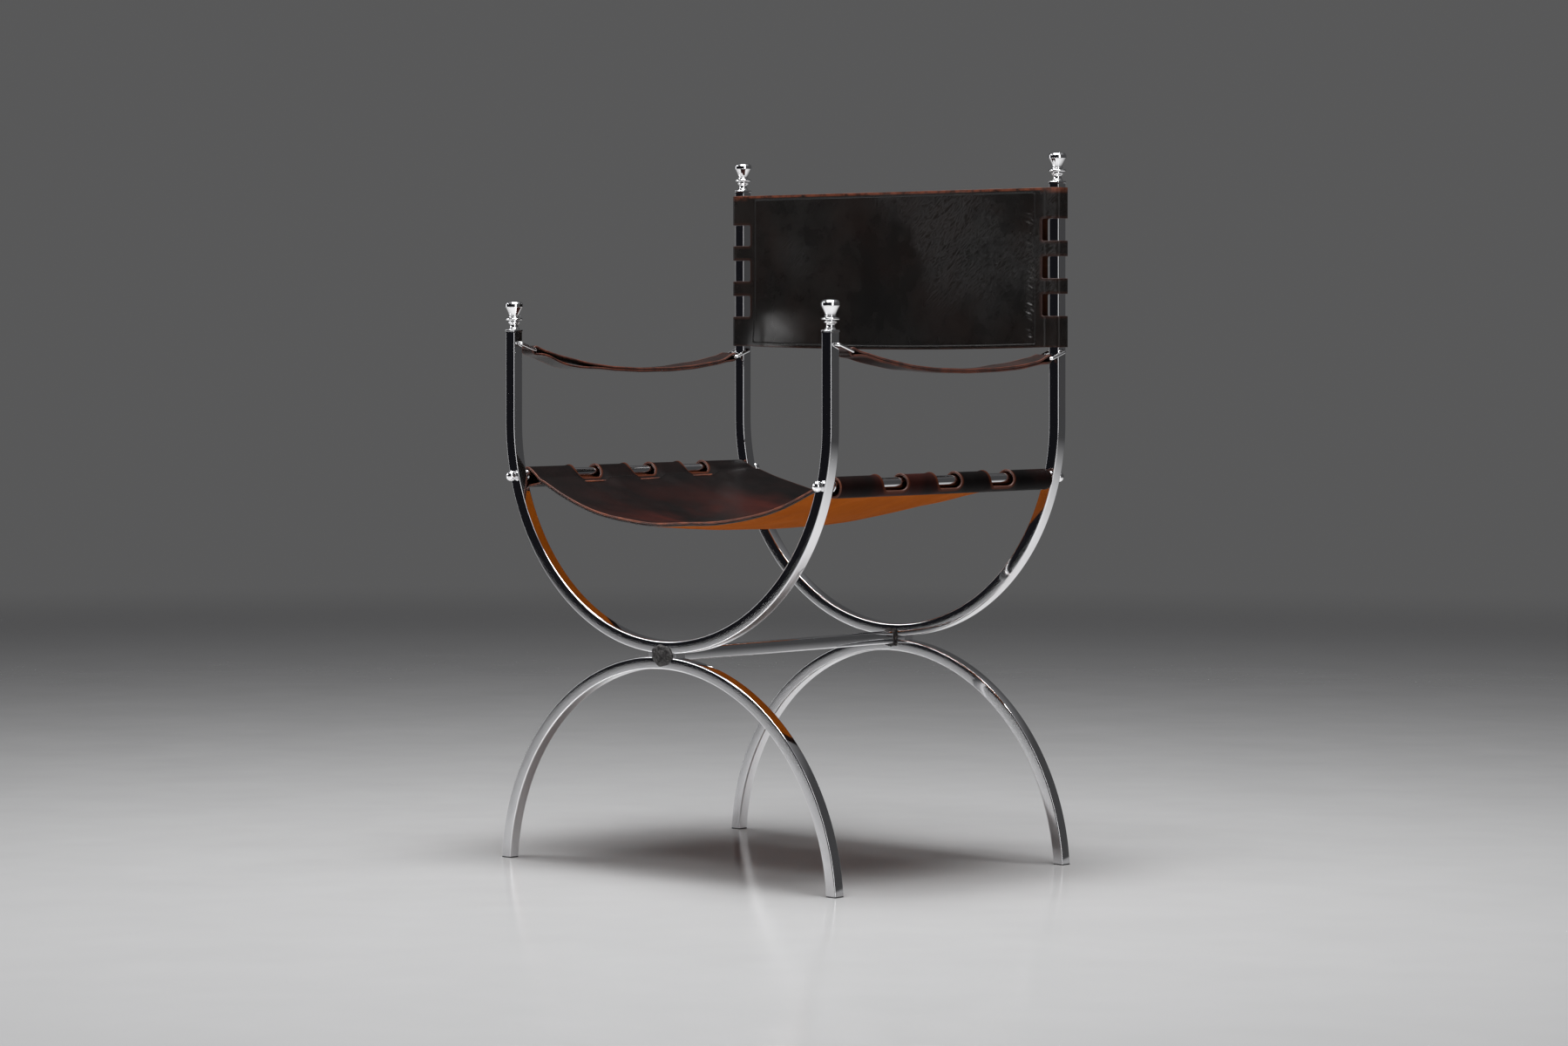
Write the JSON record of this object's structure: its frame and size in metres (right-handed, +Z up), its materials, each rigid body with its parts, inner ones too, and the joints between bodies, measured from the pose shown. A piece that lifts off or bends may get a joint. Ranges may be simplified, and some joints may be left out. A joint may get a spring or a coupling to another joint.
{
  "type": "savonarola chair",
  "caption": "Open armchair with arched square-tube frames, a hung leather sling seat, a leather back between finial-topped posts, and leather strap arms hooked on wire rings",
  "frame": {"origin": "on the floor under the middle of the chair", "axes": "+Z up, +X to the chair's right as seen from the front, -Y the way the sitter faces"},
  "size_m": [0.5992, 0.4798, 0.93],
  "materials": {
    "chrome": "polished chrome plate on steel, lightly pitted with age",
    "weld": "rough dark weld bead",
    "plug": "plain dark glide",
    "seat_leather": "dark brown saddle leather, worn reddish, burnished edges",
    "seat_lining_leather": "tan lining leather",
    "back_leather": "near-black brown saddle leather with a soft sheen",
    "strap_leather": "dark brown strap leather, orange-brown cut edges"
  },
  "bodies": {
    "frame": {"front_upper_frame": "chrome", "front_leg_arch": "chrome", "front_joint_plate": "chrome", "front_weld_collar": "weld", "foot_plug_front_left": "plug", "post_cap_front_left": "chrome", "finial_front_left": "chrome", "ball_nut_front_left": "chrome", "rod_washer_front_left": "chrome", "foot_plug_front_right": "plug", "post_cap_front_right": "chrome", "finial_front_right": "chrome", "ball_nut_front_right": "chrome", "rod_washer_front_right": "chrome", "rear_upper_frame": "chrome", "rear_leg_arch": "chrome", "rear_joint_plate": "chrome", "rear_weld_collar": "weld", "foot_plug_rear_left": "plug", "post_cap_rear_left": "chrome", "finial_rear_left": "chrome", "ball_nut_rear_left": "chrome", "rod_washer_rear_left": "chrome", "foot_plug_rear_right": "plug", "post_cap_rear_right": "chrome", "finial_rear_right": "chrome", "ball_nut_rear_right": "chrome", "rod_washer_rear_right": "chrome", "front_weld_patch": "weld", "stretcher": "chrome", "seat_rod_left": "chrome", "tie_rod_left": "chrome", "seat_rod_right": "chrome", "tie_rod_right": "chrome", "seat_sling": "seat_leather", "seat_lining": "seat_lining_leather", "back_panel": "back_leather", "back_lining": "back_leather"},
    "ring_front_left": {"arm_ring_front_left": "chrome"},
    "ring_front_right": {"arm_ring_front_right": "chrome"},
    "ring_rear_left": {"arm_ring_rear_left": "chrome"},
    "ring_rear_right": {"arm_ring_rear_right": "chrome"},
    "strap_left": {"arm_strap_left": "strap_leather"},
    "strap_right": {"arm_strap_right": "strap_leather"}
  },
  "joints": [
    {"name": "strap_left_lift", "type": "slide", "parent": "frame", "child": "strap_left", "axis": [0, 0, 1], "range_m": [0, 0.014]},
    {"name": "strap_right_lift", "type": "slide", "parent": "frame", "child": "strap_right", "axis": [0, 0, 1], "range_m": [0, 0.014]},
    {"name": "ring_front_left_swing", "type": "hinge", "parent": "frame", "child": "ring_front_left", "pos_m": [-0.284, -0.219, 0.68], "axis": [1, 0, 0], "range_deg": [0, 28]},
    {"name": "ring_front_right_swing", "type": "hinge", "parent": "frame", "child": "ring_front_right", "pos_m": [0.284, -0.219, 0.68], "axis": [1, 0, 0], "range_deg": [0, 28]},
    {"name": "ring_rear_left_swing", "type": "hinge", "parent": "frame", "child": "ring_rear_left", "pos_m": [-0.284, 0.219, 0.669], "axis": [1, 0, 0], "range_deg": [-28, 0]},
    {"name": "ring_rear_right_swing", "type": "hinge", "parent": "frame", "child": "ring_rear_right", "pos_m": [0.284, 0.219, 0.669], "axis": [1, 0, 0], "range_deg": [-28, 0]}
  ],
  "couplings": [
    {"joint": "ring_front_left_swing", "follows": "strap_left_lift", "rad_per_m": 34.223},
    {"joint": "ring_front_right_swing", "follows": "strap_right_lift", "rad_per_m": 34.223},
    {"joint": "ring_rear_left_swing", "follows": "strap_left_lift", "rad_per_m": -34.223},
    {"joint": "ring_rear_right_swing", "follows": "strap_right_lift", "rad_per_m": -34.223}
  ]
}
